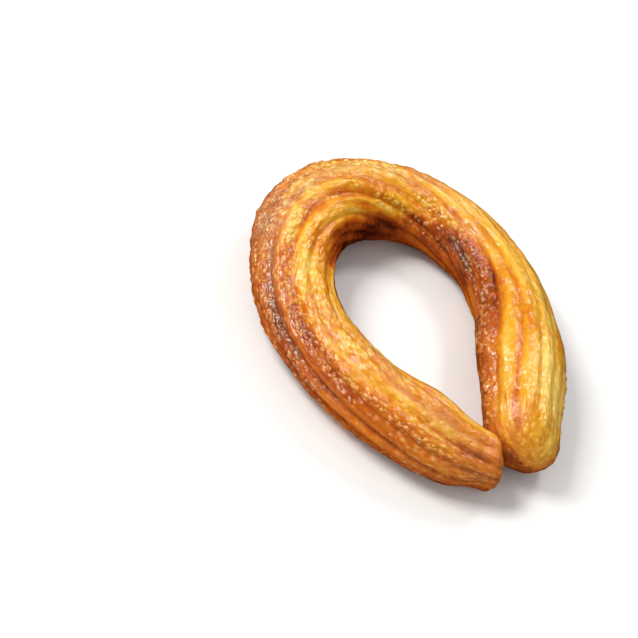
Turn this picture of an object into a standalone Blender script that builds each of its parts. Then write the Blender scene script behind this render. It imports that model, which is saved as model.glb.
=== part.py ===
"""A ring churro: one piped rope of fried dough with twelve star ridges, bent into a teardrop loop.

The loop lies flat. Z is up, the rope's two ends meet at the -Y tip, the bend is at +Y, and the
origin is on the resting surface below the middle of the loop.
"""

import math

import bpy
import numpy as np

MM = 0.001

# ---- Driving dimensions, in millimetres and degrees ----
ROPE_LENGTH = 230.0  # along the middle of the rope, from tip to tip
ROPE_RADIUS = 11.0  # mean radius, out to the crests of the ridges
LOOP_TURN = 256.0  # how far the rope's direction turns between its ends
BEND_GATHER = 0.80  # how much of the turning is gathered at the far bend: 0 none, 1 nearly all
LOOP_SKEW = -3.5  # lean of the bend to one side

RIDGE_COUNT = 12
RIDGE_DEPTH = 1.5  # from a crest down to the groove beside it
RIDGE_ROUNDNESS = 2.2  # power of the ridge's outline: 1 is a sharp tooth, larger is a rounder crest
RIDGE_TWIST = 184.0  # how far the ridges wind round the rope between its ends
RIDGE_START = 18.5  # where the first crest stands at the middle of the bend, up from the outer side

SINK = 0.7  # how deep the underside is pressed flat where the dough lay

# Where the rope is thicker or thinner: place from -1 at the first end to 1 at the last,
# reach of the swelling, and what it adds to the radius.
SWELLINGS = (
    (-0.13, 0.20, 1.8),
    (0.30, 0.20, -1.2),
    (0.74, 0.25, 1.2),
    (-0.60, 0.30, -0.5),
    (-1.05, 0.20, -2.5),
)

# Where one side stands out or in: distance along, angle round (0 is out of the loop, 90 the top, 180
# the hole's side), reach along, reach round, and what it adds to the radius.
BULGES = (
    (96.0, 15.0, 16.0, 40.0, 0.9),
    (152.0, 40.0, 18.0, 40.0, 1.4),
    (182.0, 40.0, 44.0, 55.0, -1.9),
    (219.0, 30.0, 15.0, 60.0, -2.6),
    (195.0, 165.0, 17.0, 40.0, 2.8),
    (19.0, 145.0, 9.0, 35.0, 1.8),
    (0.0, -15.0, 6.0, 60.0, -3.2),
)

FIRST_END_EXTRA = 2.8  # the first end runs this far past the even loop, to reach under the last one
FIRST_END_CAP = 4.0  # length over which the blunt first end closes
FIRST_END_POWER = 3.0  # 2 is a round dome, larger is blunter
FIRST_END_SLANT = 24.0  # the first end is cut on a slant, to lie against the last one
FIRST_END_LEAN = -2.5  # sideways bend of the tip; below 0 it bends into the loop, towards the last end
LAST_END_CAP = 12.0
LAST_END_POWER = 2.2
LAST_END_LEAN = 1.1
END_REACH = 24.0  # length of rope that the slant and the leans are spread over

POINTS_PER_RIDGE = 4
BODY_RINGS = 80
CAP_RINGS = 6

CRUST_COLOUR = (0.66, 0.29, 0.045, 1.0)
CRUST_ROUGHNESS = 0.32


def gathered(u):
    """Share of the bending done by each place, from -1 to 1: it grows fastest at the bend, u = 0."""
    return u + BEND_GATHER / math.pi * np.sin(math.pi * u)


def heading(u):
    """Direction of travel along the rope, in radians."""
    skew = math.radians(LOOP_SKEW) * np.cos(math.pi * u / 2)
    return -math.radians(LOOP_TURN / 2) * gathered(u) + skew


def centreline(u):
    """Plan positions of the rope's middle, found by adding up its direction from the first end."""
    fine = np.linspace(-1.1, 1.0, 2101)
    step = ROPE_LENGTH / 2 * (fine[1] - fine[0])
    middle = (fine[1:] + fine[:-1]) / 2
    x = np.concatenate(([0.0], np.cumsum(np.cos(heading(middle)) * step)))
    y = np.concatenate(([0.0], np.cumsum(np.sin(heading(middle)) * step)))
    return np.interp(u, fine, x), np.interp(u, fine, y)


def girth(u):
    """Radius out to the crests at each place along the rope."""
    radius = np.full_like(u, ROPE_RADIUS)
    for place, reach, added in SWELLINGS:
        radius += added * np.exp(-(((u - place) / reach) ** 2))
    return radius


def bulge(distance, around):
    """Height added on one side only: a bell curve along the rope times one round it."""
    added = 0.0
    for place, facing, reach, spread, height in BULGES:
        aside = (np.degrees(around) - facing + 180) % 360 - 180
        added = added + height * np.exp(-(((distance - place) / reach) ** 2) - (aside / spread) ** 2)
    return added


def ridge_depth(angle, u):
    """Groove depth, uneven from ridge to ridge and along the rope."""
    unevenness = 0.25 * np.sin(3 * angle + 4.0 * u + 1.0) + 0.2 * np.sin(5 * angle - 7.0 * u + 2.5)
    return RIDGE_DEPTH * (1 + unevenness)


def section_radius(angle, u):
    """Radius of the star section: crests on the girth, grooves let in between them."""
    across = (angle * RIDGE_COUNT / (2 * math.pi) + 0.5) % 1.0 - 0.5
    groove = np.abs(2 * across) ** RIDGE_ROUNDNESS
    return girth(u) - ridge_depth(angle, u) * groove


def cap_steps(cap, power):
    """Rings that close an end: distance from the tip, and share of the full radius."""
    turn = np.linspace(0, math.pi / 2, CAP_RINGS + 1)[1:-1]
    return cap * (1 - np.cos(turn) ** (2 / power)), np.sin(turn) ** (2 / power)


def stations():
    """Distance along the rope and share of the full radius, ring by ring."""
    first, first_share = cap_steps(FIRST_END_CAP, FIRST_END_POWER)
    last, last_share = cap_steps(LAST_END_CAP, LAST_END_POWER)
    start = -FIRST_END_EXTRA
    body = np.linspace(start + FIRST_END_CAP, ROPE_LENGTH - LAST_END_CAP, BODY_RINGS)
    distance = np.concatenate((start + first, body, ROPE_LENGTH - last[::-1]))
    share = np.concatenate((first_share, np.ones(BODY_RINGS), last_share[::-1]))
    return distance, share


def rope_points(distance, share, angle):
    """Skin points at distances along the rope and angles from the first crest, which the twist winds."""
    u = 2 * distance / ROPE_LENGTH - 1
    x, y = centreline(u)
    direction = heading(u)
    wound = angle + np.radians(RIDGE_START + RIDGE_TWIST / 2 * gathered(u))
    radius = (section_radius(angle, u) + bulge(distance, wound)) * share
    outward = radius * np.cos(wound)
    height = np.maximum(girth(u) - SINK + radius * np.sin(wound), 0.0)
    near_first = np.clip(1 - (distance + FIRST_END_EXTRA) / END_REACH, 0, 1) ** 2
    near_last = np.clip(1 - (ROPE_LENGTH - distance) / END_REACH, 0, 1) ** 2
    along = -math.tan(math.radians(FIRST_END_SLANT)) * near_first * outward
    outward = outward + FIRST_END_LEAN * near_first + LAST_END_LEAN * near_last
    px = x - outward * np.sin(direction) + along * np.cos(direction)
    py = y + outward * np.cos(direction) + along * np.sin(direction)
    return np.stack((px, py, height), axis=-1)


def loft(rings, first_tip, last_tip):
    """A closed skin over rings of equal count, fanned to a point at each end."""
    ring_count, round_count = rings.shape[:2]
    points = np.vstack((rings.reshape(-1, 3), first_tip, last_tip))
    near = np.arange(round_count)
    far = (near + 1) % round_count
    faces = []
    for ring in range(ring_count - 1):
        base = ring * round_count
        above = base + round_count
        faces += np.stack((base + near, base + far, above + far, above + near), axis=1).tolist()
    first = len(points) - 2
    last = len(points) - 1
    top = (ring_count - 1) * round_count
    faces += [(first, int(b), int(a)) for a, b in zip(near, far)]
    faces += [(last, int(top + a), int(top + b)) for a, b in zip(near, far)]
    return points, faces


def crust_material():
    material = bpy.data.materials.new("fried_crust")
    material.use_nodes = True
    shader = material.node_tree.nodes["Principled BSDF"]
    shader.inputs["Base Color"].default_value = CRUST_COLOUR
    shader.inputs["Roughness"].default_value = CRUST_ROUGHNESS
    shader.inputs["Metallic"].default_value = 0.0
    return material


def build_rope():
    distance, share = stations()
    round_count = RIDGE_COUNT * POINTS_PER_RIDGE
    angle = np.arange(round_count) * 2 * math.pi / round_count
    rings = rope_points(distance[:, None], share[:, None], angle[None, :])
    tips = rope_points(np.array((-FIRST_END_EXTRA, ROPE_LENGTH)), np.zeros(2), np.zeros(2))
    points, faces = loft(rings, tips[0], tips[1])
    points[:, :2] -= (points[:, :2].max(axis=0) + points[:, :2].min(axis=0)) / 2
    mesh = bpy.data.meshes.new("churro")
    mesh.from_pydata((points * MM).tolist(), [], faces)
    mesh.shade_smooth()
    mesh.materials.append(crust_material())
    return bpy.data.objects.new("churro", mesh)


def main():
    for old in list(bpy.data.objects):
        bpy.data.objects.remove(old, do_unlink=True)
    parts = bpy.data.collections.new("churro")
    bpy.context.scene.collection.children.link(parts)
    parts.objects.link(build_rope())


if __name__ == "__main__":
    main()
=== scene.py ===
"""Looks of a ring churro: a star-piped rope of fried dough, glossy with syrup, bent into a teardrop loop.

Lengths along and across the rope are in millimetres and angles in degrees until a mesh is made.
A place on the rope is given by `along`, the distance from the first end's start, and `around`, the angle
round the rope: 0 faces out of the loop, 90 is the top, 180 faces the hole and 270 is the underside.
"""

import math

import bpy
import numpy as np
from bpy.props import FloatProperty, FloatVectorProperty, IntProperty, PointerProperty
from mathutils import Matrix, Vector


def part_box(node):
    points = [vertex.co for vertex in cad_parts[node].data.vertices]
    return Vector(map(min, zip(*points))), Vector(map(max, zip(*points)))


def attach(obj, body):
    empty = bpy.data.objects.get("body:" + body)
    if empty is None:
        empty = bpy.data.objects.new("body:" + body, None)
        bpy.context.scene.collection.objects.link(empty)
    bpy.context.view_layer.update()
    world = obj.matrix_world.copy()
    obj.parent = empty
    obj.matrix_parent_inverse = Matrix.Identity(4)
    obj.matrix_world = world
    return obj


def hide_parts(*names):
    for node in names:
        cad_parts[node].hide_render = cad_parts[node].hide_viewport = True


bl_info = {
    "name": "Ring churro",
    "version": (1, 0, 0),
    "blender": (4, 5, 0),
    "location": "3D View > Sidebar > Churro",
    "description": "Builds the crust, blisters and stage of a glazed ring churro",
    "category": "Object",
}

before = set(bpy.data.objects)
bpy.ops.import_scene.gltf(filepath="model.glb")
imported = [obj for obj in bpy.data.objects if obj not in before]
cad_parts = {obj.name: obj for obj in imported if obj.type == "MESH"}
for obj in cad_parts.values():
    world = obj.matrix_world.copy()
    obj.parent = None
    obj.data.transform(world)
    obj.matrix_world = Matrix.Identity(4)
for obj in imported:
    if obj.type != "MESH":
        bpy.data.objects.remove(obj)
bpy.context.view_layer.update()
NODE = "churro"
MM = 0.001

# ---- Places on the rope ----

# Where the rope is thicker or thinner: place from -1 at the first end to 1 at the last, reach of the
# swelling, and what it adds to the radius.
SWELLINGS = (
    (-0.13, 0.20, 1.8),
    (0.30, 0.20, -1.2),
    (0.74, 0.25, 1.2),
    (-0.60, 0.30, -0.5),
    (-1.05, 0.20, -2.5),
)

# One-sided bulges: along, round, reach along, reach round, added height.
BULGES = (
    (96, 15, 16, 40, 0.9),
    (152, 40, 18, 40, 1.4),
    (182, 40, 44, 55, -1.9),
    (219, 30, 15, 60, -2.6),
    (195, 165, 17, 40, 2.8),
    (19, 145, 9, 35, 1.8),
    (0, -15, 6, 60, -3.2),
)

# Where the golden top turns brown, on the outer side and on the side of the hole: along, round.
OUTER_EDGE = (
    (0, 84), (10, 76), (22, 62), (50, 64), (66, 62), (80, 70), (92, 56), (110, 34), (130, 5), (230, -22),
)
# Round the bend, from about 80 to 130 along, the brown past the hole's edge is painted shade on the side
# turned from the light; elsewhere it is browner crust.
INNER_EDGE = (
    (0, 150), (40, 165), (62, 158), (80, 130), (95, 132), (110, 138), (125, 152), (140, 132), (155, 122),
    (170, 122), (185, 134), (200, 150), (230, 160),
)

# Patches that are darker or paler than their surroundings, mostly in browning, with painted shade and painted
# light in the rows so marked: along, round, reach along, reach round, browning.
PATCHES = (
    # The first two rows are painted shade: they darken the bend's side of the hole, which is turned from the
    # light.
    (106, 186, 22, 30, 0.30),
    (94, 148, 12, 18, 0.14),
    (62, 18, 24, 24, -0.03),
    (95, 70, 10, 24, 0.17),
    (35, 42, 12, 12, -0.10),
    (80, 122, 9, 12, 0.08),
    (124, 104, 12, 16, 0.15),
    (125, 142, 7, 12, -0.24),
    (110, 138, 6, 9, 0.10),
    (140, 162, 9, 12, -0.14),
    (111, 80, 10, 10, -0.20),
    (160, 158, 22, 34, 0.18),
    (96, 106, 18, 16, 0.08),
    (20, 106, 10, 16, 0.17),
    (46, 66, 22, 14, 0.07),
    (0, 80, 6, 90, 0.05),
    (4, 100, 9, 20, 0.13),
    (8, 58, 12, 16, -0.22),
    (8, 10, 12, 30, -0.07),
    (58, 96, 18, 12, -0.08),
    (156, 76, 22, 16, -0.23),
    (155, 104, 11, 9, 0.09),
    (172, 98, 10, 10, -0.14),
    (188, 68, 20, 22, -0.12),
    (215, 50, 14, 20, -0.22),
    (208, 136, 16, 9, -0.10),
    (206, 74, 14, 8, -0.08),
    # This row is painted light: it pales the last end's outer side, which the lamps leave in shade.
    (185, 104, 16, 6, 0.06),
    (222, 140, 8, 30, 0.08),
    (231, 110, 5, 300, 0.08),
    (220, 80, 14, 50, -0.12),
    (200, -12, 28, 18, 0.40),
    (60, 270, 90, 60, 0.12),
    (170, 270, 90, 60, 0.12),
)

# Dry, matte crust over the gold: along, round, reach along, reach round, amount.
DRY_PATCHES = (
    (112, 70, 20, 14, 0.90),
    (90, 42, 20, 26, 0.55),
    (30, 12, 32, 26, 0.12),
    (4, 30, 14, 70, 0.30),
    (16, 86, 11, 18, 0.45),
    (38, 122, 12, 16, 0.50),
    (150, 58, 26, 14, 0.35),
    (185, 166, 40, 22, 0.20),
    (204, -6, 22, 20, 0.55),
    (105, 10, 30, 40, 0.55),
    (230, 90, 12, 200, 0.18),
)

# Where the crust is covered in fine pale flecks, partly pale blister skin and partly painted glints: along,
# round, reach along, reach round, amount.
FLECK_PATCHES = (
    (58, 58, 30, 30, 0.45),
    (56, 102, 22, 17, 0.95),
    (84, 22, 22, 34, 0.70),
    (110, 58, 24, 28, 1.00),
    (14, 30, 22, 60, 0.45),
    (40, 118, 18, 24, 0.50),
    (225, 90, 14, 90, 0.40),
    (172, 146, 34, 20, 0.20),
    (180, 70, 46, 40, 0.22),
)

# Grooves that stand out: ridge angle, along, reach along, added browning and added depth.
STRONG_GROOVES = (
    (75, 34, 30, 0.07, 0.50),
    (105, 40, 44, 0.04, 0.25),
    (105, 66, 14, 0.12, 0.20),
    (15, 190, 36, 0.12, 0.20),
    (45, 180, 44, 0.16, 0.40),
    (45, 30, 30, 0.10, 0.40),
)

# Belts of blisters: ridge angle, along from, along to, half width of the belt, how many, largest radius.
BLISTER_BELTS = (
    (99, 36, 92, 7.0, 110, 0.60),
    (111, 40, 80, 3.0, 50, 0.55),
    (60, 46, 100, 9.0, 150, 0.65),
    (42, 74, 128, 12.0, 130, 0.65),
    (66, 132, 222, 15.0, 150, 0.85),
    (114, 8, 44, 5.0, 60, 0.50),
    (100, 118, 150, 14.0, 30, 0.75),
    (-98, 168, 222, 9.0, 80, 0.80),
    (22, 10, 70, 24.0, 120, 0.60),
    (2, 66, 122, 22.0, 150, 0.70),
)

# Single soft spots: along, round, reach along, reach round.
SMOOTH_TOP = (190, 75, 45, 50)  # the grooves are shallow here
BEND_TOP = (106, 66, 26, 44)  # crests are paler and grooves browner
BARRED_TOP = (102, 74, 24, 34)  # pale bars run along it
PAINTED_GLINTS = (58, 103, 20, 15)  # painted highlights: pale streaks like wet glints run along it

# Noises by name: seed, millimetres of a cell along the rope, cells round the rope, strength.
NOISES = {
    "ridge stray": (11, 26.0, 12, 1.0),
    "groove strength": (12, 16.0, 12, 0.35),
    "slow lumps": (21, 13.0, 7, 1.0),
    "small lumps": (22, 6.0, 13, 0.5),
    "long lines": (29, 22.0, 36, 0.9),
    "middling lines": (23, 12.0, 66, 1.0),
    "short lines": (24, 5.0, 84, 0.6),
    "lines come and go": (25, 20.0, 16, 0.5),
    "wrinkles": (30, 2.6, 34, 1.0),
    "wrinkles come and go": (33, 11.0, 9, 1.0),
    "knobs": (26, 1.7, 40, 1.0),
    "fine knobs": (27, 0.95, 74, 0.6),
    "tip lumps": (28, 3.2, 14, 1.0),
    "dry grain": (31, 3.0, 26, 0.35),
    "dry clouds": (32, 9.0, 14, 0.3),
    "ragged edge": (41, 5.0, 30, 5.0),
    "fine ragged edge": (42, 1.6, 60, 3.0),
    "long streaks": (43, 14.0, 62, 0.055),
    "short streaks": (44, 6.0, 28, 0.05),
    "wet glints": (51, 6.0, 44, 1.0),
    "bars": (52, 5.0, 58, 1.0),
    "fine bars": (53, 2.2, 76, 0.6),
}
NOISE_SPAN = 320.0  # millimetres of rope that the lattices cover
NOISE_START = 10.0  # how far they reach back past the first end's start

CENTRELINE_PLACES = (-1.1, 1.0, 2101)  # from, to and how many, where the rope's direction is added up
CENTRING_RINGS = 4  # every so many rings of the plain rope are measured to find its middle
CENTRING_STEP = 7.5  # degrees between the points measured on a ring

# ---- Strengths of the relief ----

GROOVE_STRENGTH = 0.55  # share of the ridge depth that a middling groove has
STRONG_GROOVE_WIDTH = 12.0  # degrees over which a strong groove is deeper
STRONG_GROOVE_LINE = 5.0  # degrees over which it is browner
LAST_TIP_GROOVES = 0.15  # share of the grooves left at the last tip
LAST_TIP_FADE = (1.0, 17.0)  # millimetres from that tip over which they come in
SMOOTH_TOP_SHARE = 0.4  # share of the grooves that the smooth top loses
LINES_ALL_OVER = 0.5  # share of the piping lines everywhere, and what the bend adds
LINES_ON_BEND = 0.8
LINED_BEND = (98.0, 36.0)  # where the lines are strongest, and their reach
LINES_FADE = (0.5, 9.0)  # millimetres from a tip over which the lines come in
LINES_LOST_IN_GROOVES = 0.5
WRINKLE_SLANT = 2.0  # degrees round the rope for each millimetre along it
LUMPY_TIP = 11.0  # millimetres of lumpy dough at each tip
PLAIN_KNOBS = 0.14  # share of the knobs on plain crust, and what blisters and a tip add
BLISTERED_KNOBS = 0.9
TIP_KNOBS = 0.5

# ---- Strengths of the browning, of the painted shade and glints, and of the flecks ----

TOP_BROWNING = 0.30
SIDE_BROWNING_AND_SHADE = 0.36
OUTER_BLEND = (6.0, -20.0)  # degrees past the outer edge at which its browning starts and is full
INNER_BLEND = (-8.0, 18.0)  # the same for the side of the hole
GROOVE_BROWNING = 0.11
GROOVE_LEVEL = 0.35  # places nearer a groove than this are browner, and the others paler
LINE_PALING = 0.07
BEND_GROOVE_BROWNING = 0.22
BEND_PALING = 0.07
BAR_BROWNING = 0.62
DARKEST_BAR = 0.15
GLINT_PALING = 0.40
GLINT_EDGE = (0.0, 0.5)  # heights of the noise at which a glint starts and is full
STREAKS_FADE = (0.5, 8.0)  # millimetres from a tip over which the streaks come in
BELT_FLECKS = 0.6
BELT_FADE = 4.0  # millimetres either side of a belt's end over which its flecks come in
BELT_SPREAD = 1.1  # width of its flecks, over the half width of its blisters
BAR_FLECKS = 2.2

# ---- Blisters ----

BLISTER_RINGS = 4
BLISTER_SIDES = 10
BLISTER_SIZES = (0.4, 1.0)  # shares of the belt's largest radius
BLISTER_STRETCHES = (1.0, 2.2)  # length over width
BLISTER_SWINGS = (-40, 40)  # degrees off the rope's direction
BLISTER_PALENESS = (0.0, 0.72)
PALENESS_POWER = 1.5  # above 1, most blisters are dark
BELT_BELL = 0.5  # spread across a belt, over its half width
DOME_POWER = 1.3
SUNK_RIM = 0.10  # how deep the rim and the root lie, over the radius
SUNK_ROOT = 0.35
STEP_ALONG = 0.05  # steps to the neighbours that give a blister its bearing
STEP_ROUND = 0.25
BLISTER_DRYNESS = 0.5  # share of the crust's dryness

# ---- Crust and stage ----

BROWNING_STOPS = (0.0, 0.30, 0.52, 0.74, 1.0)  # browning at which each colour stands, from pale to dark
FLECK_SHARE = 0.72
SPECK_SHARE = 0.55
SYRUP_AND_CRUMB = {
    "Specular IOR Level": 0.08,
    "Coat Weight": 1.0,
    "Coat Roughness": 0.07,
    "Coat IOR": 1.6,
    "Subsurface Weight": 0.10,
    "Subsurface Radius": (1.0, 0.42, 0.14),
    "Subsurface Scale": 0.0016,
}
SENSOR_WIDTH = 36.0
FLOOR_REACH = 3.0
FLOOR_MOTTLE = (0.8, 0.8, 0.8, 1.0)
LIGHT_AIM = (0.0, 0.0, 0.01)

# Lights: name, size, colour, and metres to the camera's right, up and back from the loop.
LIGHTS = (
    ("key", 0.24, (1.0, 0.985, 0.96), (-0.24, 0.42, 0.42)),
    ("side", 0.14, (1.0, 1.0, 1.0), (0.34, 0.48, 0.14)),
    ("low", 0.14, (1.0, 0.92, 0.82), (-0.42, -0.04, 0.50)),
)


class RopeSizes(bpy.types.PropertyGroup):
    """Sizes of the rope, the same as the solid model's."""

    rope_length: FloatProperty(name="Rope length", description="Millimetres from tip to tip", default=230.0)
    rope_radius: FloatProperty(name="Rope radius", description="Millimetres out to the crests", default=11.0)
    loop_turn: FloatProperty(name="Loop turn", description="Degrees turned from end to end", default=256.0)
    bend_gather: FloatProperty(name="Bend gather", description="Share turned at the bend", default=0.80)
    loop_skew: FloatProperty(name="Loop skew", description="Degrees the bend leans aside", default=-3.5)
    ridge_count: IntProperty(name="Ridges", description="Ridges round the rope", default=12)
    ridge_depth: FloatProperty(name="Ridge depth", description="Millimetres, crest to groove", default=1.5)
    ridge_roundness: FloatProperty(name="Ridge roundness", description="1 is a sharp tooth", default=2.2)
    ridge_twist: FloatProperty(name="Ridge twist", description="Degrees wound, end to end", default=184.0)
    ridge_start: FloatProperty(name="Ridge start", description="Degrees to a crest at the bend", default=18.5)
    sink: FloatProperty(name="Sink", description="Millimetres of underside pressed flat", default=0.7)
    first_extra: FloatProperty(name="First extra", description="Millimetres past the even loop", default=2.8)
    first_cap: FloatProperty(name="First cap", description="Millimetres over which it closes", default=4.0)
    first_power: FloatProperty(name="First bluntness", description="2 is a round dome", default=3.0)
    first_slant: FloatProperty(name="First slant", description="Degrees off a square cut", default=24.0)
    first_lean: FloatProperty(name="First lean", description="Millimetres sideways, outwards", default=-2.5)
    last_cap: FloatProperty(name="Last cap", description="Millimetres over which it closes", default=12.0)
    last_power: FloatProperty(name="Last bluntness", description="2 is a round dome", default=2.2)
    last_lean: FloatProperty(name="Last lean", description="Millimetres sideways, outwards", default=1.1)
    end_reach: FloatProperty(name="End reach", description="Millimetres the leans spread over", default=24.0)


class ReliefSizes(bpy.types.PropertyGroup):
    """Fineness of the surface."""

    rings: IntProperty(name="Rings", description="Rings along the rope", default=600)
    cap_rings: IntProperty(name="Cap rings", description="Rings that close each end", default=12)
    points_per_ridge: IntProperty(name="Points per ridge", description="Across a ridge", default=13)
    line_depth: FloatProperty(name="Piping lines", description="Millimetres of fine lines", default=0.21)
    wrinkle_height: FloatProperty(name="Wrinkles", description="Millimetres of wrinkles", default=0.30)
    lump_height: FloatProperty(name="Lumps", description="Millimetres of slow unevenness", default=0.28)
    crust_height: FloatProperty(name="Knobs", description="Millimetres of knobbly crust", default=0.22)
    tip_lumps: FloatProperty(name="Tip lumps", description="Millimetres of lumps at the tips", default=0.8)
    ridge_wander: FloatProperty(name="Ridge wander", description="Degrees that ridges stray", default=2.2)
    blister_seed: IntProperty(name="Blister seed", description="Seed of their places", default=7)
    blister_height: FloatProperty(name="Blister height", description="Height over radius", default=0.45)


class CrustColours(bpy.types.PropertyGroup):
    """Colours of fried dough from barely coloured to burnt, and of what lies over it."""

    pale: FloatVectorProperty(
        name="Pale yellow", description="Thinly fried crest", subtype="COLOR", default=(0.93, 0.61, 0.12))
    gold: FloatVectorProperty(
        name="Gold", description="Most of the top", subtype="COLOR", default=(0.80, 0.357, 0.015))
    orange: FloatVectorProperty(
        name="Orange", description="Where gold turns brown", subtype="COLOR", default=(0.65, 0.170, 0.006))
    brown: FloatVectorProperty(
        name="Brown", description="Well fried sides", subtype="COLOR", default=(0.42, 0.069, 0.003))
    # Dark brown is mostly painted shade: browning comes near 1 only at the bend's side of the hole, which is
    # turned from the light.
    dark: FloatVectorProperty(
        name="Dark brown", description="Inside of the bend", subtype="COLOR", default=(0.09, 0.008, 0.001))
    # The fleck colour is partly the pale skin of blisters and partly painted glints on their tops.
    fleck: FloatVectorProperty(
        name="Fleck", description="Thin pale skin of a blister", subtype="COLOR", default=(1.0, 0.74, 0.36))
    dry: FloatVectorProperty(
        name="Dry crust", description="Matte, without syrup", subtype="COLOR", default=(0.70, 0.41, 0.17))


class StageSettings(bpy.types.PropertyGroup):
    """Camera, lights and floor."""

    azimuth: FloatProperty(name="Azimuth", description="Degrees, 0 looks along +Y", default=-51.59)
    elevation: FloatProperty(name="Elevation", description="Degrees above the floor", default=50.0)
    roll: FloatProperty(name="Roll", description="Degrees turned about the camera's axis", default=26.72)
    distance: FloatProperty(name="Distance", description="Metres from the loop", default=0.5, unit="LENGTH")
    lens: FloatProperty(name="Lens", description="Focal length in millimetres", default=101.8, unit="CAMERA")
    right: FloatProperty(name="Right", description="Picture widths right of the middle", default=0.1339)
    below: FloatProperty(name="Below", description="Picture widths below the middle", default=0.0306)
    key_power: FloatProperty(name="Key light", description="Watts", default=3.0, unit="POWER")
    side_power: FloatProperty(name="Side light", description="Watts", default=0.95, unit="POWER")
    low_power: FloatProperty(name="Low light", description="Watts", default=0.30, unit="POWER")
    room_light: FloatProperty(name="Room light", description="Strength of the even white room", default=0.53)
    floor_colour: FloatVectorProperty(
        name="Floor", description="Pale tabletop", subtype="COLOR", default=(0.92, 0.92, 0.91))


# ---- Formulas of the rope ----


def smooth_step(low, high, value):
    """0 below `low`, 1 above `high`, and 3t² - 2t³ between them."""
    t = np.clip((value - low) / (high - low), 0, 1)
    return t * t * (3 - 2 * t)


def turned(angle):
    """The same angle in degrees, brought between -180 and 180."""
    return (angle + 180.0) % 360.0 - 180.0


def patch(along, around, place, angle, reach, spread):
    """A soft spot: e to the minus of the squared distances from its middle, each over its reach."""
    return np.exp(-(((along - place) / reach) ** 2) - (turned(around - angle) / spread) ** 2)


def spots(along, around, table):
    """The sum of a table's soft spots, each times its row's last number."""
    total = np.zeros_like(along + around)
    for *spot, amount in table:
        total = total + amount * patch(along, around, *spot)
    return total


def lattice_noise(name, along, around):
    """Smooth noise between minus and plus its strength: random heights on a lattice of cells along and round
    the rope, the last column beside the first, blended between a cell's corners by 3t² - 2t³."""
    seed, cell, columns, strength = NOISES[name]
    rows = int(NOISE_SPAN / cell) + 3
    heights = np.random.default_rng(seed).uniform(-1, 1, (rows, columns))
    x = (along + NOISE_START) / cell
    y = (around / 360.0 % 1.0) * columns
    row, column = np.floor(x).astype(int), np.floor(y).astype(int) % columns
    beside = (column + 1) % columns
    tx, ty = x - np.floor(x), y - np.floor(y)
    tx, ty = tx * tx * (3 - 2 * tx), ty * ty * (3 - 2 * ty)
    near = heights[row, column] * (1 - tx) + heights[row + 1, column] * tx
    far = heights[row, beside] * (1 - tx) + heights[row + 1, beside] * tx
    return strength * (near * (1 - ty) + far * ty)


def gathered(rope, u):
    """Share of the bending done by each place, from -1 to 1: u plus a sine, so it grows most at the bend."""
    return u + rope.bend_gather / math.pi * np.sin(math.pi * u)


def heading(rope, u):
    """Direction of travel in radians: minus half the turn times the gathered share, plus a cosine of skew."""
    skew = math.radians(rope.loop_skew) * np.cos(math.pi * u / 2)
    return -math.radians(rope.loop_turn / 2) * gathered(rope, u) + skew


def centreline(rope, u):
    """Plan position of the rope's middle: the running sum of the direction's cosine and sine."""
    fine = np.linspace(*CENTRELINE_PLACES)
    step = rope.rope_length / 2 * (fine[1] - fine[0])
    middle = (fine[1:] + fine[:-1]) / 2
    x = np.concatenate(([0.0], np.cumsum(np.cos(heading(rope, middle)) * step)))
    y = np.concatenate(([0.0], np.cumsum(np.sin(heading(rope, middle)) * step)))
    return np.interp(u, fine, x), np.interp(u, fine, y)


def girth(rope, u):
    """Radius out to the crests: the rope's radius plus a bell curve for each swelling."""
    radius = np.full_like(u, rope.rope_radius)
    for place, reach, added in SWELLINGS:
        radius = radius + added * np.exp(-(((u - place) / reach) ** 2))
    return radius


def end_share(rope, along):
    """Share of the full radius near a tip: (1 - (1 - x)^p)^(1/p), with x from 0 at the tip to 1 at the end of
    the cap."""
    first = np.clip((along + rope.first_extra) / rope.first_cap, 0, 1)
    last = np.clip((rope.rope_length - along) / rope.last_cap, 0, 1)
    first = (1 - (1 - first) ** rope.first_power) ** (1 / rope.first_power)
    last = (1 - (1 - last) ** rope.last_power) ** (1 / rope.last_power)
    return first * last


def winding(rope, along):
    """Angle of the first crest round the rope: the start plus half the twist times the gathered share."""
    return rope.ridge_start + rope.ridge_twist / 2 * gathered(rope, 2 * along / rope.rope_length - 1)


def tip_distance(rope, along):
    """Millimetres to the nearer tip."""
    return np.minimum(along + rope.first_extra, rope.rope_length - along)


def rope_relief():
    """The relief's sizes, from the scene."""
    return bpy.context.scene.churro_relief


def groove_shape(rope, along, ridge):
    """(how deep into a groove, 0 on a crest to 1, and that groove's strength). The first is the distance from
    the crest, on ridges that stray a little. The second is a middling strength with noise and the strong
    grooves added. It fades towards the last tip and on the smooth top."""
    stray = rope_relief().ridge_wander * lattice_noise("ridge stray", along, ridge)
    across = ((ridge + stray) * rope.ridge_count / 360.0 + 0.5) % 1.0 - 0.5
    strength = GROOVE_STRENGTH + lattice_noise("groove strength", along, ridge)
    for angle, place, reach, _, added in STRONG_GROOVES:
        strength = strength + added * patch(along, ridge, place, angle, reach, STRONG_GROOVE_WIDTH)
    coming_in = smooth_step(*LAST_TIP_FADE, rope.rope_length - along)
    fade = LAST_TIP_GROOVES + (1 - LAST_TIP_GROOVES) * coming_in
    smooth_top = 1 - SMOOTH_TOP_SHARE * patch(along, ridge + winding(rope, along), *SMOOTH_TOP)
    return np.abs(2 * across), strength * fade * smooth_top


def dryness(along, around):
    """How matte and crusty the crust is, 0 to 1: the sum of the dry patches, broken up by noise."""
    broken = 1 + lattice_noise("dry grain", along, around) + lattice_noise("dry clouds", along, around)
    return np.clip(spots(along, around, DRY_PATCHES) * broken, 0, 1)


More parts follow.
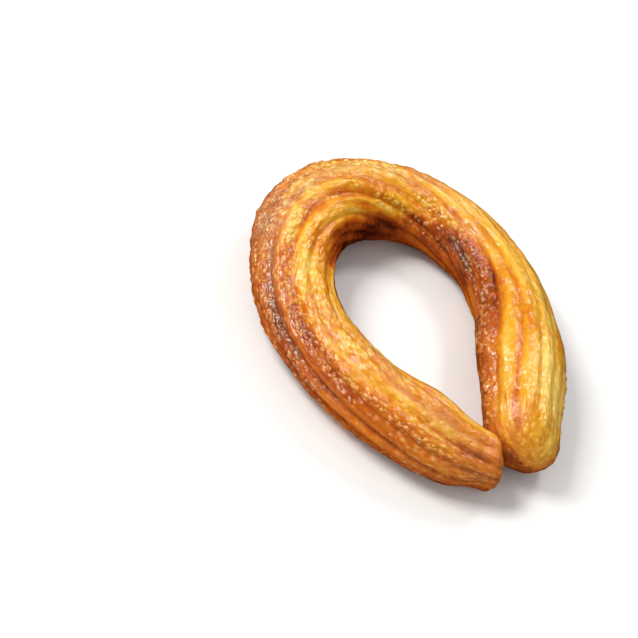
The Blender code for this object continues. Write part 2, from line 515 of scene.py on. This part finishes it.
def piping_lines(rope, along, ridge):
    """Fine lengthwise lines that the star nozzle leaves: three noises stretched along the rope, that come and
    go, die out at the tips and are strongest on the bend by a bell curve."""
    lines = (lattice_noise("long lines", along, ridge) + lattice_noise("middling lines", along, ridge)
             + lattice_noise("short lines", along, ridge))
    come_and_go = 1.0 + lattice_noise("lines come and go", along, ridge)
    middle, reach = LINED_BEND
    on_bend = LINES_ALL_OVER + LINES_ON_BEND * np.exp(-(((along - middle) / reach) ** 2))
    return lines * come_and_go * on_bend * smooth_step(*LINES_FADE, tip_distance(rope, along))


def bend_bars(rope, along, ridge):
    """Broken lengthwise bars over the bend, well below 0 where paler and a little above 0 between: two noises
    stretched along the rope and cut off above, inside a soft spot."""
    bars = lattice_noise("bars", along, ridge) + lattice_noise("fine bars", along, ridge)
    return np.minimum(bars, DARKEST_BAR) * patch(along, ridge + winding(rope, along), *BARRED_TOP)


def plain_radius(rope, along, ridge):
    """Radius without the fine relief: the girth less the grooves, plus the one-sided bulges."""
    across, strength = groove_shape(rope, along, ridge)
    groove = rope.ridge_depth * strength * across**rope.ridge_roundness
    bulges = spots(along, ridge + winding(rope, along), BULGES)
    return girth(rope, 2 * along / rope.rope_length - 1) - groove + bulges


def laid_out(rope, along, ridge, radius):
    """Points in millimetres of a rope with this radius: round the centreline, closed at the tips, with the
    first end slanted, both tips leaning, and what would lie below the table pressed flat on it."""
    u = 2 * along / rope.rope_length - 1
    x, y = centreline(rope, u)
    direction = heading(rope, u)
    turn = np.radians(ridge + winding(rope, along))
    radius = radius * end_share(rope, along)
    outward = radius * np.cos(turn)
    height = np.maximum(girth(rope, u) - rope.sink + radius * np.sin(turn), 0.0)
    near_first = np.clip(1 - (along + rope.first_extra) / rope.end_reach, 0, 1) ** 2
    near_last = np.clip(1 - (rope.rope_length - along) / rope.end_reach, 0, 1) ** 2
    forward = -math.tan(math.radians(rope.first_slant)) * near_first * outward
    outward = outward + rope.first_lean * near_first + rope.last_lean * near_last
    px = x - outward * np.sin(direction) + forward * np.cos(direction)
    py = y + outward * np.cos(direction) + forward * np.sin(direction)
    return np.stack(np.broadcast_arrays(px, py, height), axis=-1)


def skin(rope, along, ridge):
    """Points of the crust: the plain rope with lumps, piping lines, slanting wrinkles, knobs where it is dry
    or blistered, and lumpy tips added to its radius."""
    relief = rope_relief()
    around = ridge + winding(rope, along)
    across, _ = groove_shape(rope, along, ridge)
    lumps = lattice_noise("slow lumps", along, around) + lattice_noise("small lumps", along, around)
    lines = piping_lines(rope, along, ridge) * (1 - LINES_LOST_IN_GROOVES * across**2)
    wrinkles = (lattice_noise("wrinkles", along, ridge + WRINKLE_SLANT * along)
                * lattice_noise("wrinkles come and go", along, ridge))
    near_tip = np.clip(1 - tip_distance(rope, along) / LUMPY_TIP, 0, 1)
    knobs = lattice_noise("knobs", along, around) + lattice_noise("fine knobs", along, around)
    knobs = knobs * (PLAIN_KNOBS + dryness(along, around) + BLISTERED_KNOBS * blistering(rope, along, ridge)
                     + TIP_KNOBS * near_tip)
    tip_lumps = near_tip * lattice_noise("tip lumps", along, around)
    radius = (plain_radius(rope, along, ridge) + relief.lump_height * lumps + relief.line_depth * lines
              + relief.wrinkle_height * wrinkles + relief.crust_height * knobs + relief.tip_lumps * tip_lumps)
    return laid_out(rope, along, ridge, radius)


def browning(rope, along, ridge):
    """How dark each place is, 0 pale to 1 burnt: mostly how far fried, gold on top and brown past the two
    ragged edges, darker in grooves and in the named patches, paler on piping lines and on the bend's crests
    and bars, with long streaks of noise. It carries painted shade on the bend's side of the hole, painted
    light on the last end's outer side and painted highlights in the wet glints."""
    around = ridge + winding(rope, along)
    up = turned(around - 90.0) + 90.0
    across, strength = groove_shape(rope, along, ridge)
    outer = np.interp(along, *zip(*OUTER_EDGE))
    inner = np.interp(along, *zip(*INNER_EDGE))
    up = up + lattice_noise("ragged edge", along, around) + lattice_noise("fine ragged edge", along, around)
    # The patches are mostly browning, with painted shade at the bend's side of the hole and painted light on
    # the last end's outer side.
    brown = TOP_BROWNING + spots(along, around, PATCHES)
    brown = brown + SIDE_BROWNING_AND_SHADE * smooth_step(*OUTER_BLEND, up - outer)
    # Round the bend, the brown past the hole's edge is painted shade.
    brown = brown + SIDE_BROWNING_AND_SHADE * smooth_step(*INNER_BLEND, up - inner)
    brown = brown + GROOVE_BROWNING * strength * (across**3 - GROOVE_LEVEL)
    for angle, place, reach, added, _ in STRONG_GROOVES:
        brown = brown + added * patch(along, ridge, place, angle, reach, STRONG_GROOVE_LINE)
    brown = brown - LINE_PALING * piping_lines(rope, along, ridge)
    brown = brown + patch(along, around, *BEND_TOP) * (BEND_GROOVE_BROWNING * across**2 - BEND_PALING)
    brown = brown + BAR_BROWNING * bend_bars(rope, along, ridge)
    # Painted highlights: pale streaks like wet glints.
    glint_streaks = smooth_step(*GLINT_EDGE, lattice_noise("wet glints", along, ridge))
    brown = brown - GLINT_PALING * glint_streaks * patch(along, around, *PAINTED_GLINTS)
    streaks = lattice_noise("long streaks", along, ridge) + lattice_noise("short streaks", along, ridge)
    return np.clip(brown + streaks * smooth_step(*STREAKS_FADE, tip_distance(rope, along)), 0, 1)


def blistering(rope, along, ridge):
    """How blistered the crust is, 0 to 1: the fleck patches, plus in each belt a bell curve across it that is
    cut off softly at its two ends, plus the pale bars of the bend."""
    total = spots(along, ridge + winding(rope, along), FLECK_PATCHES)
    for angle, start, end, half_width, _, _ in BLISTER_BELTS:
        window = (smooth_step(start - BELT_FADE, start + BELT_FADE, along)
                  * smooth_step(end + BELT_FADE, end - BELT_FADE, along))
        aside = turned(ridge - angle) / half_width / BELT_SPREAD
        total = total + BELT_FLECKS * window * np.exp(-(aside**2))
    return np.clip(total - BAR_FLECKS * bend_bars(rope, along, ridge), 0, 1)


# ---- Meshes ----


def loft_faces(rings, columns):
    """Quads between neighbouring rings, the last column joining the first, and a fan of triangles to each of
    two tips, which follow the rings in the list of points."""
    ring, column = np.meshgrid(np.arange(rings - 1), np.arange(columns), indexing="ij")
    base = (ring * columns + column).ravel()
    beside = (ring * columns + (column + 1) % columns).ravel()
    quads = np.stack((base, beside, beside + columns, base + columns), axis=1)
    near = np.arange(columns)
    far = (near + 1) % columns
    top = (rings - 1) * columns
    first, last = rings * columns, rings * columns + 1
    fans = np.vstack((
        np.stack((np.full(columns, first), far, near), axis=1),
        np.stack((np.full(columns, last), top + near, top + far), axis=1),
    ))
    return quads, fans


def new_mesh(name, points, *face_sets):
    """A smooth-shaded object from points in millimetres and arrays of faces, with its place in its mesh."""
    mesh = bpy.data.meshes.new(name)
    corners = np.concatenate([faces.ravel() for faces in face_sets]).astype(np.int32)
    sizes = np.concatenate([np.full(len(faces), faces.shape[1]) for faces in face_sets])
    starts = np.concatenate(([0], np.cumsum(sizes)[:-1])).astype(np.int32)
    mesh.vertices.add(len(points))
    mesh.vertices.foreach_set("co", (points * MM).astype(np.float32).ravel())
    mesh.loops.add(len(corners))
    mesh.loops.foreach_set("vertex_index", corners)
    mesh.polygons.add(len(sizes))
    mesh.polygons.foreach_set("loop_start", starts)
    mesh.update(calc_edges=True)
    mesh.validate()
    mesh.shade_smooth()
    piece = bpy.data.objects.new(name, mesh)
    bpy.context.scene.collection.objects.link(piece)
    return piece


def paint(piece, name, values):
    """Stores one number for each vertex, for the material to read."""
    layer = piece.data.attributes.new(name, "FLOAT", "POINT")
    layer.data.foreach_set("value", np.asarray(values, np.float32).ravel())


def paint_place(piece, rope, along, ridge):
    """Stores each vertex's place on the rope laid straight, in metres: along it, and on a circle round it
    that closes at the tips. Patterns that read it run along the rope and have no seam."""
    radius = rope.rope_radius * end_share(rope, along)
    turn = np.radians(ridge)
    along, turn = np.broadcast_arrays(along, turn)
    place = np.stack((along, radius * np.cos(turn), radius * np.sin(turn)), axis=-1) * MM
    layer = piece.data.attributes.new("rope_place", "FLOAT_VECTOR", "POINT")
    layer.data.foreach_set("vector", place.astype(np.float32).ravel())


def ring_places(rope):
    """Distances of the rings: even along the body, and closing up towards each tip as 1 - cos(t)^(2/p)."""
    relief = rope_relief()
    turn = np.linspace(0, math.pi / 2, relief.cap_rings + 1)[1:-1]
    first = rope.first_cap * (1 - np.cos(turn) ** (2 / rope.first_power))
    last = rope.last_cap * (1 - np.cos(turn) ** (2 / rope.last_power))
    start = -rope.first_extra
    body = np.linspace(start + rope.first_cap, rope.rope_length - rope.last_cap, relief.rings)
    return np.concatenate((start + first, body, rope.rope_length - last[::-1]))


def centre_offset(rope):
    """Plan shift from the first end's start to the solid model's frame: the middle of the plain rope's box
    goes to the middle of the model's box."""
    along = ring_places(rope)[::CENTRING_RINGS, None]
    ridge = np.arange(0, 360, CENTRING_STEP)[None, :]
    plain = laid_out(rope, along, ridge, plain_radius(rope, along, ridge)).reshape(-1, 3)
    low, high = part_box(NODE)
    middle = (np.array(low) + np.array(high)) / 2 / MM - (plain.min(axis=0) + plain.max(axis=0)) / 2
    return np.array((middle[0], middle[1], 0.0))


# ---- Materials ----


class NodeTree:
    """Short calls that add nodes to a material."""

    def __init__(self, name):
        """A new material with its Principled shader."""
        self.material = bpy.data.materials.new(name)
        self.material.use_nodes = True
        self.tree = self.material.node_tree
        self.shader = self.tree.nodes["Principled BSDF"]

    def add(self, kind, inputs=(), **settings):
        """A new node with its settings and inputs. An input is a value, or another node's output to link."""
        node = self.tree.nodes.new(kind)
        for key, value in settings.items():
            setattr(node, key, value)
        for key, value in dict(inputs).items():
            self.feed(node.inputs[key], value)
        return node

    def feed(self, socket, value):
        """Links another node's output to the socket, or sets the socket to a value."""
        if isinstance(value, bpy.types.NodeSocket):
            self.tree.links.new(value, socket)
        else:
            socket.default_value = value

    def attribute(self, name, output="Fac"):
        """What the mesh stores under this name."""
        return self.add("ShaderNodeAttribute", attribute_name=name).outputs[output]

    def maths(self, operation, first, second, clamp=False):
        """Two numbers added, multiplied or the like."""
        inputs = {0: first, 1: second}
        return self.add("ShaderNodeMath", inputs, operation=operation, use_clamp=clamp).outputs[0]

    def remap(self, value, low, high, to_low, to_high):
        """Goes smoothly from `to_low` to `to_high` as the value goes from `low` to `high`."""
        inputs = {"Value": value, "From Min": low, "From Max": high, "To Min": to_low, "To Max": to_high}
        return self.add("ShaderNodeMapRange", inputs, interpolation_type="SMOOTHSTEP").outputs["Result"]

    def scaled(self, place, along):
        """The place, with its first coordinate scaled: below 1, patterns are drawn out along the rope."""
        return self.add("ShaderNodeMapping", {"Vector": place, "Scale": (along, 1.0, 1.0)}).outputs["Vector"]

    def noise(self, place, scale, along=1.0, detail=2.0, roughness=0.5):
        """Soft noise, `scale` swells to a metre."""
        inputs = {"Vector": self.scaled(place, along), "Scale": scale}
        inputs |= {"Detail": detail, "Roughness": roughness}
        return self.add("ShaderNodeTexNoise", inputs).outputs["Fac"]

    def cells(self, place, scale, along=1.0):
        """Distance to the nearest of scattered points, of which `scale` stand in a metre."""
        inputs = {"Vector": self.scaled(place, along), "Scale": scale}
        return self.add("ShaderNodeTexVoronoi", inputs).outputs["Distance"]

    def mix(self, share, first, second):
        """The first colour, with a share of the second."""
        node = self.add("ShaderNodeMix", data_type="RGBA")
        self.feed(node.inputs["Factor"], share)
        self.feed(node.inputs[6], first)
        self.feed(node.inputs[7], second)
        return node.outputs[2]

    def ramp(self, value, stops):
        """The colour that stands at the value, between stops of a position and a colour."""
        node = self.add("ShaderNodeValToRGB", {"Fac": value})
        points = node.color_ramp.elements
        points[0].color = (*stops[0][1], 1.0)
        points[1].color = (*stops[-1][1], 1.0)
        for position, colour in stops[1:-1]:
            points.new(position).color = (*colour, 1.0)
        return node.outputs["Color"]

    def bumps(self, layers):
        """One normal from layers of a height, its strength and its distance in metres, each over the last."""
        normal = None
        for height, strength, distance in layers:
            node = self.add("ShaderNodeBump", {"Height": height, "Strength": strength, "Distance": distance})
            if normal is not None:
                self.feed(node.inputs["Normal"], normal)
            normal = node.outputs["Normal"]
        return normal


def fried_colour(nodes, place, gaps):
    """Colour of the dough: the stored browning, which carries painted shade and painted light too, with
    streaks, clouds and mottling, browner in the gaps between blisters where it isn't brown already."""
    colours = bpy.context.scene.churro_colours
    brown = nodes.attribute("browning")
    streaks = nodes.noise(place, 380.0, along=0.16)
    clouds = nodes.noise(place, 150.0, along=0.5, roughness=0.55)
    mottle = nodes.noise(place, 900.0, along=0.6, roughness=0.6)
    brown = nodes.maths("ADD", brown, nodes.remap(streaks, 0.3, 0.7, -0.09, 0.10))
    brown = nodes.maths("ADD", brown, nodes.remap(clouds, 0.3, 0.7, -0.09, 0.09))
    brown = nodes.maths("ADD", brown, nodes.remap(mottle, 0.3, 0.7, -0.06, 0.06))
    gaps = nodes.maths("MULTIPLY", gaps, nodes.maths("SUBTRACT", 1.0, brown, clamp=True))
    brown = nodes.maths("ADD", brown, gaps, clamp=True)
    shades = (colours.pale, colours.gold, colours.orange, colours.brown, colours.dark)
    return nodes.ramp(brown, tuple(zip(BROWNING_STOPS, shades)))


def crust_material():
    """Fried dough: its colour, with dry crust, dark specks and pale flecks over it, the flecks partly pale
    blister skin and partly painted glints, under a coat of syrup.
    """
    colours = bpy.context.scene.churro_colours
    nodes = NodeTree("fried_dough")
    place = nodes.attribute("rope_place", "Vector")
    dry = nodes.attribute("dryness")
    blistered = nodes.attribute("blistering")
    beads = nodes.cells(place, 760.0, along=0.65)
    gaps = nodes.maths("MULTIPLY", nodes.remap(beads, 0.30, 0.70, 0.0, 0.38), blistered)
    tops = nodes.maths("MULTIPLY", nodes.remap(beads, 0.08, 0.46, 1.0, 0.0), blistered)
    colour = fried_colour(nodes, place, gaps)
    grain = nodes.noise(place, 1500.0, roughness=0.6)
    dry_share = nodes.maths("MULTIPLY", dry, nodes.remap(grain, 0.35, 0.62, 0.12, 0.70))
    colour = nodes.mix(dry_share, colour, (*colours.dry, 1.0))
    specks = nodes.remap(nodes.cells(place, 620.0), 0.10, 0.24, 1.0, 0.0)
    speck_field = nodes.remap(nodes.noise(place, 160.0), 0.50, 0.68, 0.0, 1.0)
    speck_share = nodes.maths("MULTIPLY", specks, nodes.maths("MULTIPLY", speck_field, SPECK_SHARE))
    colour = nodes.mix(speck_share, colour, (*colours.brown, 1.0))
    # Pale flecks on the bead tops: partly pale blister skin, partly painted glints.
    fleck_field = nodes.remap(nodes.noise(place, 330.0, along=0.6), 0.36, 0.60, 0.10, 1.0)
    flecks = nodes.maths("MULTIPLY", tops, fleck_field)
    flecks = nodes.maths("MAXIMUM", flecks, nodes.attribute("fleck"))
    colour = nodes.mix(nodes.maths("MULTIPLY", flecks, FLECK_SHARE), colour, (*colours.fleck, 1.0))
    shader = nodes.shader.inputs
    nodes.feed(shader["Base Color"], colour)
    nodes.feed(shader["Roughness"], nodes.remap(dry, 0.0, 1.0, 0.34, 0.52))
    for name, value in SYRUP_AND_CRUMB.items():
        shader[name].default_value = value
    grains = nodes.remap(nodes.cells(place, 1500.0), 0.05, 0.6, 1.0, 0.0)
    normal = nodes.bumps((
        (nodes.noise(place, 480.0, along=0.5, roughness=0.55), 0.5, 0.0010),
        (nodes.noise(place, 1300.0, along=0.45, detail=3.0, roughness=0.6), 0.9, 0.00035),
        (nodes.noise(place, 620.0, along=0.14, roughness=0.6), 0.4, 0.0005),
        (nodes.maths("MULTIPLY", grains, dry), 0.6, 0.0003),
        (tops, 0.7, 0.0005),
    ))
    nodes.feed(shader["Normal"], normal)
    nodes.feed(shader["Coat Normal"], normal)
    return nodes.material


def floor_material():
    """Matte pale tabletop with a faint mottling."""
    nodes = NodeTree("pale_tabletop")
    place = nodes.add("ShaderNodeTexCoord").outputs["Object"]
    mottle = nodes.remap(nodes.noise(place, 9.0), 0.3, 0.7, 0.0, 0.02)
    colour = nodes.mix(mottle, (*bpy.context.scene.churro_stage.floor_colour, 1.0), FLOOR_MOTTLE)
    nodes.feed(nodes.shader.inputs["Base Color"], colour)
    nodes.shader.inputs["Roughness"].default_value = 0.9
    nodes.shader.inputs["Specular IOR Level"].default_value = 0.1
    return nodes.material


def shared_crust_material():
    """The one crust material that both pieces have."""
    return bpy.data.materials.get("fried_dough") or crust_material()


# ---- Operators ----


def paint_crust(piece, rope, along, ridge, dry_share=1.0):
    """Gives a piece the crust material and stores most of what it reads."""
    paint_place(piece, rope, along, ridge)
    # The stored browning carries painted shade and painted light too.
    paint(piece, "browning", browning(rope, along, ridge))
    paint(piece, "dryness", dry_share * dryness(along, ridge + winding(rope, along)))
    piece.data.materials.append(shared_crust_material())


class OBJECT_OT_churro_rope(bpy.types.Operator):
    """Builds the crust: the star-ridged rope bent into its loop, with its browning, painted shade and painted
    light stored on its points
    """

    bl_idname = "object.churro_rope"
    bl_label = "Fried rope"

    def execute(self, context):
        """A grid of the skin, with a ring for each place along it, and a point at each tip."""
        rope = context.scene.churro_rope
        columns = rope.ridge_count * rope_relief().points_per_ridge
        along = ring_places(rope)[:, None]
        ridge = (np.arange(columns) * 360.0 / columns)[None, :]
        tips_along, tips_ridge = np.array((-rope.first_extra, rope.rope_length)), np.zeros(2)
        tips = skin(rope, tips_along, tips_ridge)
        points = np.vstack((skin(rope, along, ridge).reshape(-1, 3), tips)) + centre_offset(rope)
        piece = new_mesh("fried_rope", points, *loft_faces(len(along), columns))
        all_along, all_ridge = np.broadcast_arrays(along, ridge)
        all_along = np.append(all_along, tips_along)
        all_ridge = np.append(all_ridge, tips_ridge)
        paint_crust(piece, rope, all_along, all_ridge)
        paint(piece, "blistering", blistering(rope, all_along, all_ridge))
        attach(piece, "root")
        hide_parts(NODE)
        return {"FINISHED"}


def blister_places():
    """Random blisters in every belt, a row each: place along, ridge angle, radius, stretch, turn in degrees
    and paleness. They lie evenly along a belt and by a bell curve across it."""
    draw = np.random.default_rng(rope_relief().blister_seed)
    rows = []
    for angle, start, end, half_width, count, largest in BLISTER_BELTS:
        rows.append(np.stack((
            draw.uniform(start, end, count),
            angle + half_width * np.clip(draw.normal(0, BELT_BELL, count), -1, 1),
            largest * draw.uniform(*BLISTER_SIZES, count),
            draw.uniform(*BLISTER_STRETCHES, count),
            draw.uniform(*BLISTER_SWINGS, count),
            draw.uniform(*BLISTER_PALENESS, count) ** PALENESS_POWER,
        ), axis=1))
    return np.vstack(rows)


def blister_bearings(rope, along, ridge, swing):
    """(middle, length, breadth, normal) of each blister: its point on the skin, and unit vectors from steps
    to two neighbours on the skin, swung round the normal."""
    middle = skin(rope, along, ridge)
    forward = skin(rope, along + STEP_ALONG, ridge) - middle
    sideways = skin(rope, along, ridge + STEP_ROUND) - middle
    forward = forward / np.linalg.norm(forward, axis=-1, keepdims=True)
    normal = np.cross(sideways, forward)
    normal = normal / np.linalg.norm(normal, axis=-1, keepdims=True)
    sideways = np.cross(forward, normal)
    swing = np.radians(swing)[..., None]
    length = forward * np.cos(swing) + sideways * np.sin(swing)
    breadth = sideways * np.cos(swing) - forward * np.sin(swing)
    return middle, length, breadth, normal


class OBJECT_OT_churro_blisters(bpy.types.Operator):
    """Builds the blisters that frying raises: small long domes in belts along the ridges"""

    bl_idname = "object.churro_blisters"
    bl_label = "Crust blisters"

    def execute(self, context):
        """A dome's height is a power of 1 - share², where share is the distance from its middle over its
        radius. The rim is sunk in the crust, and closes below it to a root."""
        rope = context.scene.churro_rope
        tall = rope_relief().blister_height
        rows = blister_places()
        count = len(rows)
        along, ridge, size, stretch, swing, paleness = (rows[:, column, None, None] for column in range(6))
        share = np.linspace(1.0, 0.0, BLISTER_RINGS + 1)[:-1][None, :, None]
        turn = -(np.arange(BLISTER_SIDES) * 2 * math.pi / BLISTER_SIDES)[None, None, :]
        middle, length, breadth, normal = blister_bearings(rope, along, ridge, swing)
        flat = size * share
        height = tall * size * (1 - share**2) ** DOME_POWER - SUNK_RIM * flat
        domes = (middle + (stretch * flat * np.cos(turn))[..., None] * length
                 + (flat * np.sin(turn))[..., None] * breadth + height[..., None] * normal)
        roots = (middle - (SUNK_ROOT * size)[..., None] * normal).reshape(count, 1, 3)
        peaks = (middle + (tall * size)[..., None] * normal).reshape(count, 1, 3)
        points = np.concatenate((domes.reshape(count, -1, 3), roots, peaks), axis=1) + centre_offset(rope)
        points[..., 2] = np.maximum(points[..., 2], 0.0)
        each = points.shape[1]
        start = (np.arange(count) * each)[:, None, None]
        quads, fans = loft_faces(BLISTER_RINGS, BLISTER_SIDES)
        piece = new_mesh("crust_blisters", points.reshape(-1, 3), (quads[None] + start).reshape(-1, 4),
                         (fans[None] + start).reshape(-1, 3))
        paint_crust(piece, rope, np.repeat(rows[:, 0], each), np.repeat(rows[:, 1], each), BLISTER_DRYNESS)
        # Paler tops: partly pale blister skin, partly painted glints.
        pale_and_glinting_top = np.broadcast_to(1 - share**2, (count, BLISTER_RINGS, BLISTER_SIDES)).reshape(count, -1)
        pale_and_glinting_top = np.hstack((pale_and_glinting_top, np.zeros((count, 1)), np.ones((count, 1)))) * paleness[:, 0]
        paint(piece, "fleck", pale_and_glinting_top)
        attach(piece, "root")
        return {"FINISHED"}


def camera_turn(stage):
    """(camera position, its rotation): back from the loop at the azimuth and elevation, rolled, and aimed so
    that the loop's middle falls where `right` and `below` say."""
    a, e, r = (math.radians(angle) for angle in (stage.azimuth, stage.elevation, stage.roll))
    back = Vector((math.sin(a) * math.cos(e), -math.cos(a) * math.cos(e), math.sin(e)))
    level = Vector((math.cos(a), math.sin(a), 0.0))
    upright = back.cross(level)
    side = level * math.cos(r) + upright * math.sin(r)
    rise = upright * math.cos(r) - level * math.sin(r)
    width_at_one = SENSOR_WIDTH / stage.lens
    forward = (-back - side * stage.right * width_at_one + rise * stage.below * width_at_one).normalized()
    rise = (rise - forward * rise.dot(forward)).normalized()
    side = forward.cross(rise)
    return back * stage.distance, Matrix((side, rise, -forward)).transposed()


def add_floor():
    """A flat square tabletop, which the syrup doesn't mirror."""
    mesh = bpy.data.meshes.new("tabletop")
    corners = [(-1, -1), (1, -1), (1, 1), (-1, 1)]
    mesh.from_pydata([(x * FLOOR_REACH, y * FLOOR_REACH, 0.0) for x, y in corners], [], [(0, 1, 2, 3)])
    mesh.materials.append(floor_material())
    tabletop = bpy.data.objects.new("tabletop", mesh)
    tabletop.visible_glossy = False
    bpy.context.scene.collection.objects.link(tabletop)


def add_camera(stage):
    """The scene's camera, and the directions to its right, up and back."""
    position, turn = camera_turn(stage)
    camera = bpy.data.cameras.new("camera")
    camera.lens = stage.lens
    camera.sensor_width = SENSOR_WIDTH
    camera.clip_start = 0.02
    camera.clip_end = 20.0
    viewer = bpy.data.objects.new("camera", camera)
    viewer.matrix_world = Matrix.Translation(position) @ turn.to_4x4()
    bpy.context.scene.collection.objects.link(viewer)
    bpy.context.scene.camera = viewer
    return tuple(turn.col)


def add_light(name, watts, size, colour, place):
    """A square soft light at a place in metres, turned to the loop."""
    data = bpy.data.lights.new(name, "AREA")
    data.energy = watts
    data.size = size
    data.color = colour
    lamp = bpy.data.objects.new(name, data)
    lamp.location = place
    lamp.rotation_euler = (Vector(LIGHT_AIM) - place).to_track_quat("-Z", "Y").to_euler()
    bpy.context.scene.collection.objects.link(lamp)


def add_room(stage):
    """Even white light from all round, which the syrup doesn't mirror."""
    world = bpy.data.worlds.new("white_room")
    world.use_nodes = True
    background = world.node_tree.nodes["Background"]
    background.inputs["Color"].default_value = (1.0, 1.0, 1.0, 1.0)
    background.inputs["Strength"].default_value = stage.room_light
    world.cycles_visibility.glossy = False
    bpy.context.scene.world = world


class SCENE_OT_churro_stage(bpy.types.Operator):
    """Builds the pale floor, the soft studio lights and the camera"""

    bl_idname = "scene.churro_stage"
    bl_label = "Stage"

    def execute(self, context):
        """The lights stand where the table says, measured along the camera's own directions."""
        stage = context.scene.churro_stage
        add_floor()
        directions = add_camera(stage)
        for name, size, colour, offsets in LIGHTS:
            place = sum((way * offset for way, offset in zip(directions, offsets)), Vector((0.0, 0.0, 0.0)))
            add_light(name + "_light", getattr(stage, name + "_power"), size, colour, place)
        add_room(stage)
        context.scene.view_settings.view_transform = "Standard"
        return {"FINISHED"}


class VIEW3D_PT_churro(bpy.types.Panel):
    """Lists the sizes, the colours and the buttons"""

    bl_label = "Ring churro"
    bl_space_type = "VIEW_3D"
    bl_region_type = "UI"
    bl_category = "Churro"

    def draw(self, context):
        """A box for each group of settings, then the buttons."""
        for group in GROUPS:
            settings = getattr(context.scene, group)
            box = self.layout.box()
            for name in settings.__annotations__:
                box.prop(settings, name)
        for operator in OPERATORS:
            self.layout.operator(operator.bl_idname)


GROUPS = {
    "churro_rope": RopeSizes,
    "churro_relief": ReliefSizes,
    "churro_colours": CrustColours,
    "churro_stage": StageSettings,
}
OPERATORS = (OBJECT_OT_churro_rope, OBJECT_OT_churro_blisters, SCENE_OT_churro_stage)
CLASSES = (*GROUPS.values(), *OPERATORS, VIEW3D_PT_churro)


def register():
    """Adds the classes, and each group of settings to the scene."""
    for item in CLASSES:
        bpy.utils.register_class(item)
    for name, group in GROUPS.items():
        setattr(bpy.types.Scene, name, PointerProperty(type=group))


def unregister():
    """Takes away what `register` adds."""
    for name in GROUPS:
        delattr(bpy.types.Scene, name)
    for item in reversed(CLASSES):
        bpy.utils.unregister_class(item)


def main():
    """Builds everything."""
    register()
    bpy.ops.object.churro_rope()
    bpy.ops.object.churro_blisters()
    bpy.ops.scene.churro_stage()


if __name__ == "__main__":
    main()
